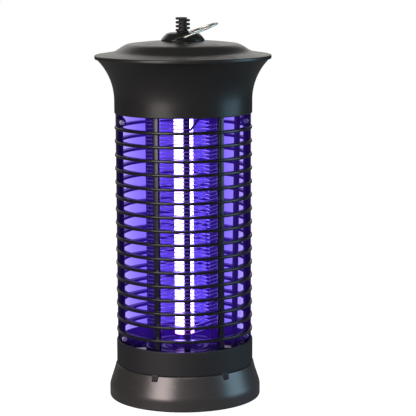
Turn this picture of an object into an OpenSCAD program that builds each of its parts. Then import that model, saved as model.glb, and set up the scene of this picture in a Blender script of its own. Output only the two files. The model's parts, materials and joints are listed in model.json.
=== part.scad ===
// Electric bug zapper: a hanging lantern with a lamp, a high-voltage wire grid, a two-part
// guard cage, a flared top housing that holds the electronics, and a pull-off tray.
// Origin: centre of the underside of the tray. +Z up, -Y is the front. Millimetres.

/* [Guard cage] */
// Outer radius of the guard rings
cage_r = 57.2; // [50:0.1:70]
// Radial depth of one guard ring
ring_depth = 5.9; // [4:0.1:9]
// Height of one guard ring
ring_h = 2.3; // [1.5:0.1:4]
// Number of guard rings
ring_count = 16; // [8:1:20]
// Height from the collar's top edge to the top of the lowest ring
ring_lift = 9.7; // [7:0.1:14]
// Height from the top ring to the housing's lower edge
ring_drop = 10.75; // [8:0.05:16]
// Width of an upright bar
bar_w = 5.0; // [3:0.1:8]
// Depth of an upright bar
bar_t = 3.6; // [2.5:0.1:5]
// Radius of the round bosses that take the guard screws
guard_boss_r = 3.4; // [3:0.1:4.5]

/* [Tray and collar] */
// Height of the tray up to its seam with the collar
tray_h = 28.0; // [20:0.5:45]
// Height of the tray's upright lower band
tray_band_h = 10; // [6:0.5:14]
// How far the tray's foot stands out past its rim
tray_flare = 5.9; // [3:0.1:12]
// Height of the collar above the seam
collar_h = 20.2; // [16:0.1:30]
// Number of clips that hold the tray
clip_count = 6; // [3:1:8]
// Width of a clip at its root
clip_w = 6.0; // [4:0.1:9]
// Height of a clip
clip_h = 4.5; // [3:0.1:6]

/* [Top housing and lid] */
// Height of the straight skirt
skirt_h = 10.5; // [6:0.5:20]
// Height of the flared part
flare_h = 35.5; // [25:0.5:42]
// Radius of the flare's curve
flare_radius = 48; // [44:1:70]
// Height of the lid's crown above the rim
crown_h = 14.2; // [10:0.1:20]
// Radius of the crown up to its shoulder
crown_r = 52; // [40:0.5:60]
// Wall thickness of the mouldings
wall = 2.2; // [1.6:0.1:3]

/* [Hanger] */
// Radius of the hanger boss at its foot
boss_r = 18; // [15:0.5:22]
// Height of the hanger boss
boss_h = 6.9; // [5:0.1:10]
// Length of the hanging loop from its pivot to its far end
loop_len = 31.1; // [26:0.1:45]
// Wire diameter of the hanging loop
loop_wire_d = 1.8; // [1.2:0.1:3]
// Angle of the loop above the lid as it leans at rest
loop_lean = 20.5; // [0:0.5:80]
// Outer diameter of the strain relief over its ribs
relief_d = 12; // [9:0.5:14]
// Height of the ribbed part of the strain relief
relief_h = 12.2; // [9:0.1:25]
// Diameter of the mains cord that the strain relief takes
cord_d = 4.8; // [3:0.1:5.5]

/* [Lamp and grid] */
// Glass diameter of the lamp
lamp_d = 15.9; // [12:0.1:18]
// Length of the lamp between the faces of its end caps
lamp_len = 212.1; // [175:0.1:290]
// Distance between the two pins of a lamp cap
pin_gap = 4.75; // [4:0.05:6]
// Radius from the centre to the outer face of the grid posts
grid_r = 30.6; // [26:0.1:36]
// Radial depth of a grid post
post_depth = 9; // [6:0.1:11]
// Width of a grid post
post_w = 5; // [3.5:0.1:7]
// Wire diameter of the grid
wire_d = 0.9; // [0.6:0.1:1.4]
// Height between two neighbouring grid wires, one live and one return
wire_pitch = 3.1; // [2.6:0.1:6]

/* [Clearances] */
// Gap between mouldings that fit into each other
fit_gap = 0.3; // [0.2:0.05:0.6]
// Radial gap round a pivot or a pin
pivot_gap = 0.06; // [0.02:0.01:0.1]

/* [Hidden] */
$fn = 96;
eps = 0.01;

// Heights, from the floor up
tray_floor_z = 1.5;
tray_floor_t = 2.0;
collar_z = tray_h + fit_gap;
collar_top = collar_z + collar_h;
ledge_h = 8.2;
deck_t = 2.7;
deck_z = collar_z + ledge_h;
deck_top = deck_z + deck_t;
plate_t = 3.8;
plate_top = deck_top + plate_t;
lamp_seat = 3.2;
lamp_z = plate_top + 1.3;
lamp_top = lamp_z + lamp_len;
holder_reach = 13.2;
upper_deck_z = lamp_top - holder_reach;
upper_deck_top = upper_deck_z + deck_t;
upper_plate_z = upper_deck_z - plate_t;
housing_z = upper_deck_z - 3.7;
first_ring_top = collar_top + ring_lift;
ring_pitch = (housing_z - ring_drop - first_ring_top) / (ring_count - 1);
flare_z = housing_z + skirt_h;
rim_z = flare_z + flare_h;

// Tray and collar radii
skirt_r = cage_r + 0.1;
collar_r = cage_r + 0.2;
collar_in_r = collar_r - wall;
ledge_in_r = collar_in_r - 2.6;
spigot_r = ledge_in_r + 2;
spigot_h = 6;
tray_rim_r = collar_r + fit_gap;
tray_r = tray_rim_r + tray_flare;
tray_foot_r = tray_r - 0.4;
tray_wall = 2.2;
clip_first = 30;
clip_taper = 0.75;
clip_depth = 1.9;

// Guard
bar_in_r = cage_r - ring_depth - 1.1;
rim_in_r = bar_in_r + 0.6;
rim_out_r = cage_r - 2.6;
rim_h = 3.2;
half_gap = 0.15;
flange_t = 2.4;
flange_w = 5.4;
guard_bottom = deck_top + fit_gap;
guard_top = upper_deck_z - fit_gap;
bar_foot = guard_bottom + 0.5;
bar_head = guard_top - 0.5;
guard_screw_x = cage_r - ring_depth;
guard_screw_z = [collar_top + 1.2, housing_z - 7.1];
guard_boss_len = 7;
screw_r = 1.4;
screw_way_r = screw_r + 0.2;
screw_hole_r = screw_r + 0.05;
screw_head_r = 2.25;
screw_head_h = 1.3;
bar_angles = [-30, 30];

// Deck and plates
deck_r = collar_in_r - fit_gap;
slot_out_r = cage_r - 13.2;
hub_r = grid_r + 2.4;
spoke_w = 9;
deck_screw_r = cage_r - 10.2;
deck_boss_r = 3.2;
deck_head_r = 2.7;
grid_screw_r = grid_r - post_depth / 2;
grid_screw_depth = 8;

// Lamp and holders
cap_r = lamp_d / 2 + 0.35;
cap_way_r = cap_r + 0.7;
cap_len = 8;
glass_t = 0.8;
pin_r = 1.18;
pin_len = 7.1;
holder_r = 11;
holder_flange_r = 14;
holder_flange_t = 2.8;
seat_r = cap_r + fit_gap;
holder_hole_r = holder_r + fit_gap;

// Grid winding: each wire goes round the four posts, level by level
post_count = 4;
wire_r = wire_d / 2;
wire_round_r = grid_r - 0.15;
wire_bottom = first_ring_top - 0.4;
wire_top = housing_z - 2.5;
turn_pitch = 2 * wire_pitch;
wire_turns = floor((wire_top - wire_bottom - wire_pitch) / turn_pitch);
wire_sides = 6;
notch_depth = 0.9;
notch_h = wire_d + 0.5;

// Leads inside the cage
sleeve_r = 2.5;
sleeve_play = 0.15;
sleeve_top_r = cage_r - 12;
sleeve_foot_r = slot_out_r - 1.8;
grid_lead_r = 0.95;
lead_play = 0.05;
grid_lead_lean = 35;
grid_lead_y = -grid_r - 2.4;

// Housing interior
housing_boss_r = 3.6;
housing_boss_h = 18;
ear_t = 2.5;
lid_spigot_h = 4.5;
ear_z = rim_z - lid_spigot_h - ear_t;
ear_r = skirt_r + 3.2;
ear_w = 10;
lid_post_r = 4.2;
lid_post_h = 4.4;
lid_spigot_r = skirt_r + flare_radius - 0.25
    - sqrt(pow(flare_radius + wall, 2) - pow(flare_h - lid_spigot_h, 2));
board_size = [56, 27, 1.6];
board_y = 29;
board_z = upper_deck_top + 10;
board_top = board_z + board_size[2];
board_hole = [board_size[0] / 2 - 4, board_size[1] / 2 - 4];
standoff_r = 3;
ballast_place_r = 29;

// Lid
lid_edge_r = skirt_r + flare_radius - sqrt(pow(flare_radius, 2) - pow(flare_h, 2)) + 0.2;
lid_z = rim_z + 0.4;
lid_top = rim_z + crown_h;
crown_sphere_r = 360;
brim_slope = 0.17;
brim_z = lid_z + 1.2;
shoulder_w = 14;
lid_t = 2.4;
lid_step = 2;

// Hanger
boss_z = lid_top - 0.8;
boss_top = boss_z + boss_h;
boss_top_r = boss_r - 4.8;
pivot_z = boss_z + 3.4;
flat_y = boss_r - 2.3;
loop_r = loop_wire_d / 2;
leg_y = flat_y + fit_gap + loop_r;
leg_len = 9;
loop_bow_r = 12.4;
loop_bow_s = loop_len - loop_r - loop_bow_r;
pin_bend_r = fit_gap + loop_r - 0.1;
bow_lead = 1;
wire_lap = 0.15;
pin_reach = 4.2;
pivot_hole_depth = 4.6;
neck_r = 3.6;
relief_core_r = 3.3;
relief_bore_r = cord_d / 2 + 0.1;
relief_flange_h = 1.6;
rib_pitch = 3.5;
rib_h = 2.0;
relief_nut_h = 2.0;
relief_foot_z = boss_z - lid_t - relief_nut_h - 0.1;
boss_screw_ring_r = 11;

// ---- Shared shapes ----

// A tube standing on z0
module tube(r_out, r_in, z0, z1) {
    translate([0, 0, z0])
        difference() {
            cylinder(r = r_out, h = z1 - z0);
            translate([0, 0, -1])
                cylinder(r = r_in, h = z1 - z0 + 2);
        }
}

// Children copied round the axis at one radius
module ring_of(count, radius, first = 0) {
    for (i = [0:count - 1])
        rotate([0, 0, first + i * 360 / count])
            translate([0, -radius, 0])
                children();
}

// A pan-head screw pointing up from z0, with its head below
module screw_up(z0, z1, head_r = deck_head_r) {
    translate([0, 0, z0 - screw_head_h / 2])
        cylinder(r = screw_r, h = z1 - z0 + screw_head_h / 2);
    translate([0, 0, z0 - screw_head_h])
        cylinder(r = head_r, h = screw_head_h);
}

// A clip's outline, seen from outside, hanging down from the collar
module clip_outline(grow) {
    top = clip_w / 2 + grow;
    foot = top * clip_taper;
    polygon([[-top, 1], [top, 1], [top, 0], [foot, -clip_h - grow], [-foot, -clip_h - grow], [-top, 0]]);
}

// One clip's space, cut radially through the tray wall at the front
module clip_space(grow, z0) {
    translate([0, -collar_r + clip_depth + 1, z0])
        rotate([90, 0, 0])
            linear_extrude(height = 12)
                clip_outline(grow);
}

// ---- Tray and collar ----

// Radius of the tray's outer slope at height z
function tray_slope_r(z) = tray_rim_r + tray_flare * (tray_h - z) / (tray_h - tray_band_h);

module tray_outline() {
    inner_r = tray_r - tray_wall;
    foot_in_r = tray_foot_r - 5;
    polygon([
        [0, tray_floor_z],
        [foot_in_r, tray_floor_z],
        [foot_in_r + 0.8, 0],
        [tray_foot_r, 0],
        [tray_r, 0.8],
        [tray_r, tray_band_h],
        [tray_rim_r, tray_h],
        [spigot_r + fit_gap, tray_h],
        [spigot_r + fit_gap, tray_h - 2.5],
        [inner_r, tray_band_h - 1],
        [inner_r, tray_floor_z + tray_floor_t],
        [0, tray_floor_z + tray_floor_t]
    ]);
}

module collection_tray() {
    color("#46444a")
        difference() {
            rotate_extrude()
                tray_outline();
            for (i = [0:clip_count - 1])
                rotate([0, 0, clip_first + i * 360 / clip_count])
                    clip_space(fit_gap, collar_z);
        }
}

// The clip follows the tray's slope, flush with it
module tray_clip() {
    intersection() {
        rotate_extrude()
            polygon([
                [tray_slope_r(collar_z - clip_h) - clip_depth, collar_z - clip_h],
                [tray_slope_r(collar_z - clip_h) - 0.1, collar_z - clip_h],
                [collar_r - 0.1, collar_z],
                [collar_r - 0.1, collar_z + 0.5],
                [collar_r - clip_depth, collar_z + 0.5]
            ]);
        clip_space(0, collar_z);
    }
}

module lower_collar() {
    edge = 0.7;
    color("#27262c") {
        difference() {
            union() {
                rotate_extrude()
                    polygon([
                        [spigot_r - 2, collar_z - spigot_h],
                        [spigot_r, collar_z - spigot_h],
                        [spigot_r, collar_z],
                        [collar_r, collar_z],
                        [collar_r, collar_top - edge],
                        [collar_r - edge, collar_top],
                        [collar_in_r, collar_top],
                        [collar_in_r, deck_z],
                        [ledge_in_r, deck_z],
                        [ledge_in_r, collar_z]
                    ]);
                ring_of(4, deck_screw_r, 45)
                    translate([0, 0, collar_z])
                        deck_boss();
            }
            ring_of(4, deck_screw_r, 45)
                translate([0, 0, collar_z - 1])
                    cylinder(r = screw_hole_r, h = ledge_h + 2);
        }
        for (i = [0:clip_count - 1])
            rotate([0, 0, clip_first + i * 360 / clip_count])
                tray_clip();
    }
}

// A screw boss joined to the collar's ledge by a web
module deck_boss() {
    web_len = ledge_in_r - deck_screw_r + 1;
    cylinder(r = deck_boss_r, h = ledge_h);
    translate([-deck_boss_r / 2, -web_len, 0])
        cube([deck_boss_r, web_len, ledge_h]);
}

// ---- Lower deck, grid plate and lampholder ----

module lower_deck() {
    color("#141418")
        difference() {
            union() {
                tube(deck_r, slot_out_r, deck_z, deck_top);
                tube(hub_r, holder_hole_r, deck_z, deck_top);
                ring_of(4, 0)
                    translate([-spoke_w / 2, -slot_out_r - 2, deck_z])
                        cube([spoke_w, slot_out_r - hub_r + 5, deck_t]);
            }
            ring_of(4, deck_screw_r, 45)
                translate([0, 0, deck_z - 1])
                    cylinder(r = screw_way_r, h = deck_t + 2);
            ring_of(post_count, grid_screw_r)
                translate([0, 0, deck_z - 1])
                    cylinder(r = screw_way_r, h = deck_t + 2);
            sleeve_hole(deck_z - 1, deck_top + 1);
        }
}

module deck_screws() {
    color("silver")
        ring_of(4, deck_screw_r, 45)
            translate([0, 0, deck_top + collar_z])
                mirror([0, 0, 1])
                    screw_up(collar_z, deck_top - 1.5);
}

// The dished insulating disc that the grid posts stand on
module grid_plate(z0, z1, hole_r) {
    difference() {
        tube(hub_r, hole_r, z0, z1);
        ring_of(post_count, grid_screw_r)
            translate([0, 0, z0 - 1])
                cylinder(r = screw_way_r, h = z1 - z0 + 2);
    }
}

module lower_grid_plate() {
    color("#101014")
        grid_plate(deck_top, plate_top, holder_hole_r);
}

// A lampholder with its flange at z = 0 and its seat facing up
module lampholder(seat_z, top_z) {
    difference() {
        union() {
            cylinder(r = holder_r, h = top_z);
            cylinder(r = holder_flange_r, h = holder_flange_t);
        }
        translate([0, 0, seat_z])
            cylinder(r = seat_r, h = top_z - seat_z + 1);
        for (side = [-1, 1])
            translate([side * pin_gap / 2, 0, seat_z - pin_len - 1])
                cylinder(r = pin_r + pivot_gap, h = pin_len + 2);
    }
}

module lower_lampholder() {
    foot_z = deck_z - holder_flange_t;
    color("#1b1b20")
        translate([0, 0, foot_z])
            lampholder(lamp_z - foot_z, lamp_z + lamp_seat - foot_z);
}

// ---- Lamp ----

module lamp_tube() {
    color("#d8d4ff")
        tube(lamp_d / 2, lamp_d / 2 - glass_t, lamp_z + 1.2, lamp_top - 1.2);
}

module lamp_cap() {
    difference() {
        cylinder(r = cap_r, h = cap_len);
        translate([0, 0, 1])
            cylinder(r = lamp_d / 2 + 0.02, h = cap_len);
        for (side = [-1, 1])
            translate([side * pin_gap / 2, 0, -1])
                cylinder(r = pin_r, h = 3);
    }
}

module lamp_end_caps() {
    color("silver") {
        translate([0, 0, lamp_z])
            lamp_cap();
        translate([0, 0, lamp_top])
            mirror([0, 0, 1])
                lamp_cap();
    }
}

module lamp_pins() {
    color("gold")
        for (side = [-1, 1], z = [lamp_z - pin_len, lamp_top - 1])
            translate([side * pin_gap / 2, 0, z])
                cylinder(r = pin_r, h = pin_len + 1);
}

// ---- Grid posts and wires ----

// Height of the wire on its way past post number i, counted from the bottom
function wire_z(i, start) = start + i * turn_pitch / post_count;

module grid_post(index) {
    color("#16141c")
        rotate([0, 0, index * 360 / post_count])
            difference() {
                translate([-post_w / 2, -grid_r, plate_top])
                    cube([post_w, post_depth, upper_plate_z - plate_top]);
                for (turn = [0:wire_turns], start = [wire_bottom, wire_bottom + wire_pitch]) {
                    notch_z = wire_z(turn * post_count + index, start) - notch_h / 2;
                    translate([-post_w / 2 - 1, -grid_r - 1, notch_z])
                        cube([post_w + 2, notch_depth + 1, notch_h]);
                }
                for (z = [plate_top - 1, upper_plate_z - grid_screw_depth])
                    translate([0, -grid_screw_r, z])
                        cylinder(r = screw_hole_r, h = grid_screw_depth + 1);
            }
}

// Corner points of a wire: two on the face of each post
function wire_path(start) = [
    for (i = [0:wire_turns * post_count], side = [-1, 1])
        let (a = i * 360 / post_count, t = side * (post_w / 2 - 0.4), r = wire_round_r)
            [t * cos(a) + r * sin(a), t * sin(a) - r * cos(a), wire_z(i, start)]
];

function unit(v) = v / norm(v);

// Direction of the path at point i
function path_dir(path, i) =
    unit(path[min(i + 1, len(path) - 1)] - path[max(i - 1, 0)]);

// Rings of points round the path, one ring at each corner, mitred to keep the wire's width
function wire_rings(path) = [
    for (i = [0:len(path) - 1])
        let (
            along = path_dir(path, i),
            out = unit(cross(along, [0, 0, 1])),
            lift = cross(out, along),
            last = len(path) - 1,
            leg = unit(path[min(i + 1, last)] - path[min(i, last - 1)]),
            mitre = 1 / max(0.7, along * leg)
        )
            for (k = [0:wire_sides - 1])
                let (a = k * 360 / wire_sides)
                    path[i] + wire_r * (mitre * cos(a) * out + sin(a) * lift)
];

module swept_wire(path) {
    n = len(path);
    s = wire_sides;
    side_faces = [
        for (i = [0:n - 2], k = [0:s - 1])
            [i * s + k, i * s + (k + 1) % s, (i + 1) * s + (k + 1) % s, (i + 1) * s + k]
    ];
    ends = [[for (k = [s - 1:-1:0]) k], [for (k = [0:s - 1]) (n - 1) * s + k]];
    polyhedron(points = wire_rings(path), faces = concat(side_faces, ends), convexity = 6);
}

module live_grid_wire() {
    color("gold")
        swept_wire(wire_path(wire_bottom));
}

module return_grid_wire() {
    color("gold")
        swept_wire(wire_path(wire_bottom + wire_pitch));
}

module grid_post_screws() {
    color("silver")
        ring_of(post_count, grid_screw_r) {
            screw_up(deck_z, plate_top + grid_screw_depth - 1);
            translate([0, 0, upper_deck_top + upper_plate_z])
                mirror([0, 0, 1])
                    screw_up(upper_plate_z, upper_deck_top + grid_screw_depth - 1);
        }
}

// ---- Upper deck ----

module upper_grid_plate() {
    color("#101014")
        grid_plate(upper_plate_z, upper_deck_z, cap_way_r);
}

module upper_deck() {
    color("#141418")
        difference() {
            tube(skirt_r - wall - fit_gap, cap_way_r, upper_deck_z, upper_deck_top);
            ring_of(4, deck_screw_r, 45)
                translate([0, 0, upper_deck_z - 1])
                    cylinder(r = screw_way_r, h = deck_t + 2);
            ring_of(post_count, grid_screw_r)
                translate([0, 0, upper_deck_z - 1])
                    cylinder(r = screw_way_r, h = deck_t + 2);
            sleeve_hole(upper_deck_z - 1, upper_deck_top + 1);
            grid_lead_pair(grid_lead_r + lead_play);
        }
}

module upper_deck_screws() {
    color("silver")
        ring_of(4, deck_screw_r, 45)
            screw_up(upper_deck_z, upper_deck_top + housing_boss_h - 6);
}

module upper_lampholder() {
    holder_top = lamp_top + pin_len + 3;
    color("#1b1b20")
        translate([0, 0, upper_deck_top]) {
            difference() {
                union() {
                    cylinder(r = holder_r, h = holder_top - upper_deck_top);
                    cylinder(r = holder_flange_r, h = holder_flange_t);
                }
                translate([0, 0, -1])
                    cylinder(r = seat_r, h = lamp_top - upper_deck_top + 1);
                for (side = [-1, 1])
                    translate([side * pin_gap / 2, 0, lamp_top - upper_deck_top - 1])
                        cylinder(r = pin_r + pivot_gap, h = pin_len + 2);
            }
        }
}

// ---- Guard ----

// One ring fin over half a turn, on the front side
module half_ring(z_top) {
    edge = 0.5;
    r0 = cage_r - ring_depth;
    rotate([0, 0, 180])
        rotate_extrude(angle = 180)
            polygon([
                [r0, z_top - ring_h + edge],
                [r0 + edge, z_top - ring_h],
                [cage_r - edge, z_top - ring_h],
                [cage_r, z_top - ring_h + edge],
                [cage_r, z_top - edge],
                [cage_r - edge, z_top],
                [r0 + edge, z_top],
                [r0, z_top - edge]
            ]);
}

// A rim that sits inside the collar or the skirt
module half_rim(z0) {
    rotate([0, 0, 180])
        rotate_extrude(angle = 180)
            translate([rim_in_r, z0])
                square([rim_out_r - rim_in_r, rim_h]);
}

// The strip where the two halves meet, at +X
module joint_flange() {
    translate([guard_screw_x - 0.4, -half_gap - flange_t, collar_top + 0.4])
        cube([flange_w, flange_t, housing_z - collar_top - 0.8]);
    translate([bar_in_r, -half_gap - flange_t, bar_foot])
        cube([rim_out_r - bar_in_r - 0.5, flange_t, bar_head - bar_foot]);
    for (z = guard_screw_z)
        translate([guard_screw_x, -half_gap, z])
            rotate([90, 0, 0])
                cylinder(r = guard_boss_r, h = guard_boss_len);
}

module half_guard(hole_r) {
    difference() {
        union() {
            intersection() {
                union() {
                    for (i = [0:ring_count - 1])
                        half_ring(first_ring_top + i * ring_pitch);
                    half_rim(guard_bottom);
                    half_rim(guard_top - rim_h);
                }
                translate([-cage_r - 1, -cage_r - 1, 0])
                    cube([2 * cage_r + 2, cage_r + 1 - half_gap, guard_top + 1]);
            }
            for (a = bar_angles)
                rotate([0, 0, a])
                    translate([-bar_w / 2, -bar_in_r - bar_t, bar_foot])
                        cube([bar_w, bar_t, bar_head - bar_foot]);
            joint_flange();
            mirror([1, 0, 0])
                joint_flange();
        }
        for (side = [-1, 1], z = guard_screw_z)
            translate([side * guard_screw_x, 1, z])
                rotate([90, 0, 0])
                    cylinder(r = hole_r, h = guard_boss_len + 2);
    }
}

module front_guard() {
    color("#222126")
        half_guard(screw_way_r);
}

module rear_guard() {
    color("#222126")
        rotate([0, 0, 180])
            half_guard(screw_hole_r);
}

module guard_screws() {
    color("silver")
        for (side = [-1, 1], z = guard_screw_z)
            translate([side * guard_screw_x, -guard_boss_len - half_gap, z])
                rotate([-90, 0, 0])
                    screw_up(0, 2 * guard_boss_len - 1.5, screw_head_r);
}

// ---- Leads inside the cage ----

// The sleeve leans a little: its top end is further out than its foot
module sleeve(r, z0, z1) {
    rise = upper_deck_z - deck_top;
    lean = atan((sleeve_top_r - sleeve_foot_r) / rise);
    translate([sleeve_foot_r, 0, deck_top])
        rotate([0, lean, 0])
            translate([0, 0, z0 - deck_top])
                cylinder(r = r, h = z1 - z0);
}

module sleeve_hole(z0, z1) {
    sleeve(sleeve_r + sleeve_play, z0, z1);
}

module lamp_lead_sleeve() {
    color("#18181c")
        sleeve(sleeve_r, deck_z - 3, upper_deck_top + 3);
}

// Two slanting leads, from the grid's top wires through the upper deck
module grid_lead_pair(r) {
    lead_z = housing_z - 12;
    lead_len = (upper_deck_top - lead_z + 1.5) / cos(grid_lead_lean);
    for (turn = [0, 180])
        rotate([0, 0, turn])
            translate([post_w / 2, grid_lead_y, lead_z])
                rotate([0, grid_lead_lean, 0])
                    cylinder(r = r, h = lead_len);
}

module grid_leads() {
    color("#121214")
        grid_lead_pair(grid_lead_r);
}

// ---- Top housing ----

// Solid outline of the housing, with its walls moved inwards by inset
module housing_outline(inset) {
    translate([0, housing_z - inset])
        square([skirt_r - inset, skirt_h + inset + eps]);
    difference() {
        translate([0, flare_z])
            square([skirt_r + flare_radius - eps, flare_h + (inset > 0 ? 1 : 0)]);
        translate([skirt_r + flare_radius, flare_z])
            circle(r = flare_radius + inset, $fn = 360);
    }
}

module housing_boss() {
    web_len = skirt_r - wall - deck_screw_r + 0.6;
    translate([0, 0, upper_deck_top + 0.1]) {
        cylinder(r = housing_boss_r, h = housing_boss_h);
        translate([-1.5, -web_len, 0])
            cube([3, web_len, housing_boss_h]);
    }
}

// A tab on the inner wall that a lid screw goes up through
module lid_ear() {
    reach = 7.2;
    translate([-ear_w / 2, -reach, ear_z])
        cube([ear_w, reach + 5, ear_t]);
}

module top_housing() {
    color("#3a393c")
        difference() {
            union() {
                rotate_extrude($fn = 180)
                    difference() {
                        housing_outline(0);
                        housing_outline(wall);
                    }
                intersection() {
                    union() {
                        ring_of(4, deck_screw_r, 45)
                            housing_boss();
                        ring_of(4, ear_r, 45)
                            lid_ear();
                    }
                    rotate_extrude($fn = 180)
                        housing_outline(wall / 2);
                }
            }
            ring_of(4, deck_screw_r, 45)
                translate([0, 0, upper_deck_top - 1])
                    cylinder(r = screw_hole_r, h = housing_boss_h - 3);
            ring_of(4, ear_r, 45)
                translate([0, 0, ear_z - 1])
                    cylinder(r = screw_way_r, h = ear_t + 2);
        }
}

// ---- Electronics ----

// Children at the board's four fixing holes
module at_board_corners() {
    for (sx = [-1, 1], sy = [-1, 1])
        translate([sx * board_hole[0], board_y + sy * board_hole[1], 0])
            children();
}

module driver_board() {
    color("#2f6b3a")
        difference() {
            translate([-board_size[0] / 2, board_y - board_size[1] / 2, board_z])
                cube(board_size);
            at_board_corners()
                translate([0, 0, board_z - 1])
                    cylinder(r = screw_way_r, h = board_size[2] + 2);
        }
}

module board_standoffs() {
    color("#e8e6df")
        at_board_corners()
            tube(standoff_r, screw_hole_r, upper_deck_top, board_z);
}

module board_screws() {
    color("silver")
        at_board_corners()
            translate([0, 0, board_top + board_z])
                mirror([0, 0, 1])
                    screw_up(board_z, board_top + 6);
}

module step_up_transformer() {
    core = [15, 13, 13];
    window = [4, core[1] + 2, 7];
    coil_r = 5.6;
    coil_h = 2.2;
    translate([-12, board_y, board_top]) {
        color("#3a3a3a")
            difference() {
                translate([-core[0] / 2, -core[1] / 2, 0])
                    cube(core);
                for (side = [-1, 1])
                    translate([side * 6.2 - window[0] / 2, -window[1] / 2, (core[2] - window[2]) / 2])
                        cube(window);
            }
        color("#b5732e")
            for (side = [-1, 1])
                translate([0, side * core[1] / 2, core[2] / 2])
                    rotate([side * -90, 0, 0])
                        cylinder(r = coil_r, h = coil_h);
    }
}

module film_capacitors() {
    can_r = 3.9;
    can_pitch = 8.6;
    color("#a4452a")
        for (i = [0:2])
            translate([0.2 + i * can_pitch, board_y + 6.2, board_top])
                cylinder(r = can_r, h = 13);
}

module rectifier_diodes() {
    body_r = 1.3;
    body_len = 5.2;
    color("#1c1c1e")
        for (i = [0:3])
            translate([-1 + i * 4.4, board_y - 1, board_top + body_r + 0.1])
                rotate([90, 0, 0])
                    cylinder(r = body_r, h = body_len);
}

module discharge_resistor() {
    body_r = 1.7;
    color("#b49a6a")
        translate([-2.5, board_y - 8.2, board_top + body_r + 0.1])
            rotate([0, 90, 0])
                cylinder(r = body_r, h = 11);
}

// The lamp's choke: a laminated core with its coil standing out on two sides
module lamp_ballast() {
    core = [28, 20, 14];
    coil = [20, 26, 9];
    rotate([0, 0, -45])
        translate([0, -ballast_place_r, upper_deck_top]) {
            color("#4a4a4e")
                translate([-core[0] / 2, -core[1] / 2, 0])
                    cube(core);
            color("#b5732e")
                translate([-coil[0] / 2, -coil[1] / 2, (core[2] - coil[2]) / 2])
                    cube(coil);
        }
}

module terminal_block() {
    size = [9, 8, 9];
    entry_r = 1.3;
    entry_pitch = 4.2;
    color("#e4e2da")
        translate([14.5, board_y - size[1] / 2 - 2.6, board_top])
            difference() {
                cube(size);
                for (side = [-1, 1])
                    translate([size[0] / 2 + side * entry_pitch / 2, -1, 4])
                        rotate([-90, 0, 0])
                            cylinder(r = entry_r, h = 6);
            }
}

// ---- Lid ----

function smooth(t) = let (u = min(1, max(0, t))) u * u * (3 - 2 * u);

// Height of the lid's top surface at radius r: a shallow crown that steps down to a brim
function lid_height(r) =
    let (
        crown = lid_top - crown_sphere_r + sqrt(pow(crown_sphere_r, 2) - r * r),
        brim = brim_z + brim_slope * (lid_edge_r - r),
        blend = smooth((r - (crown_r - shoulder_w / 2)) / shoulder_w)
    )
        crown * (1 - blend) + brim * blend;

// Points of the lid's top curve, from the crown out to the brim
lid_curve = [
    for (r = [24:6:42]) [r, lid_height(r)],
    for (r = [crown_r - shoulder_w / 2:lid_step:lid_edge_r - 1.2]) [r, lid_height(r)]
];

module lid_outline() {
    seat_wall = boss_r + fit_gap;
    under_r = lid_edge_r - 5.5;
    inner = [for (r = [under_r:-lid_step:crown_r - shoulder_w / 2]) [r, max(lid_height(r) - lid_t, lid_z)]];
    polygon(concat(
        [[0, boss_z], [seat_wall, boss_z], [seat_wall, lid_height(seat_wall)]],
        lid_curve,
        [[lid_edge_r, brim_z], [lid_edge_r, lid_z + 0.4], [lid_edge_r - 0.4, lid_z]],
        [[under_r + 0.5, lid_z]],
        inner,
        [for (r = [42:-6:24]) [r, lid_height(r) - lid_t]],
        [[seat_wall, boss_z - lid_t], [0, boss_z - lid_t]]
    ));
}

// The ring under the lid that centres it in the housing, with posts for the lid screws
module lid_spigot() {
    z0 = rim_z - 4.4;
    difference() {
        union() {
            tube(lid_spigot_r, lid_spigot_r - 1.8, z0, lid_z + 0.6);
            ring_of(4, ear_r, 45)
                translate([0, 0, z0])
                    cylinder(r = lid_post_r, h = lid_post_h);
        }
        ring_of(4, ear_r, 45)
            translate([0, 0, z0 - 1])
                cylinder(r = screw_hole_r, h = lid_post_h + 0.2);
    }
}

module top_lid() {
    color("#4a4846")
        difference() {
            union() {
                rotate_extrude($fn = 180)
                    lid_outline();
                lid_spigot();
            }
            translate([0, 0, boss_z - lid_t - 1])
                cylinder(r = neck_r + 0.15, h = lid_t + 2);
            ring_of(2, boss_screw_ring_r, 45)
                translate([0, 0, boss_z - lid_t - 1])
                    cylinder(r = screw_way_r, h = lid_t + 2);
        }
}

module lid_screws() {
    color("silver")
        ring_of(4, ear_r, 45)
            screw_up(ear_z, ear_z + ear_t + lid_post_h - 1.2);
}

// ---- Hanger ----

module hanger_boss() {
    edge = 1.2;
    color("#1e1f22")
        difference() {
            rotate_extrude($fn = 180)
                polygon([
                    [0, boss_z],
                    [boss_r, boss_z],
                    [boss_r, boss_z + 0.8],
                    [boss_top_r + edge, boss_top - edge * 0.7],
                    [boss_top_r, boss_top - 0.2],
                    [boss_top_r - edge, boss_top],
                    [0, boss_top]
                ]);
            for (side = [-1, 1]) {
                translate([-boss_r, side > 0 ? flat_y : -flat_y - 10, boss_z + 0.8])
                    cube([2 * boss_r, 10, boss_h]);
                translate([0, side * (flat_y - pivot_hole_depth), pivot_z])
                    rotate([side * -90, 0, 0])
                        cylinder(r = loop_r + pivot_gap, h = pivot_hole_depth + 1);
            }
            ring_of(2, boss_screw_ring_r, 45)
                translate([0, 0, boss_z - 1])
                    cylinder(r = screw_hole_r, h = 5.5);
            translate([0, 0, boss_z - 1])
                cylinder(r = neck_r + 0.15, h = boss_h + 2);
        }
}

module boss_screws() {
    color("silver")
        ring_of(2, boss_screw_ring_r, 45)
            screw_up(boss_z - lid_t, boss_z + 4);
}

// Half of a rib, on the right side; the left ones are its mirror
module half_rib() {
    difference() {
        cylinder(r = relief_d / 2, h = rib_h);
        translate([-relief_d - 0.8, -relief_d, -1])
            cube([relief_d, 2 * relief_d, rib_h + 2]);
    }
}

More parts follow.
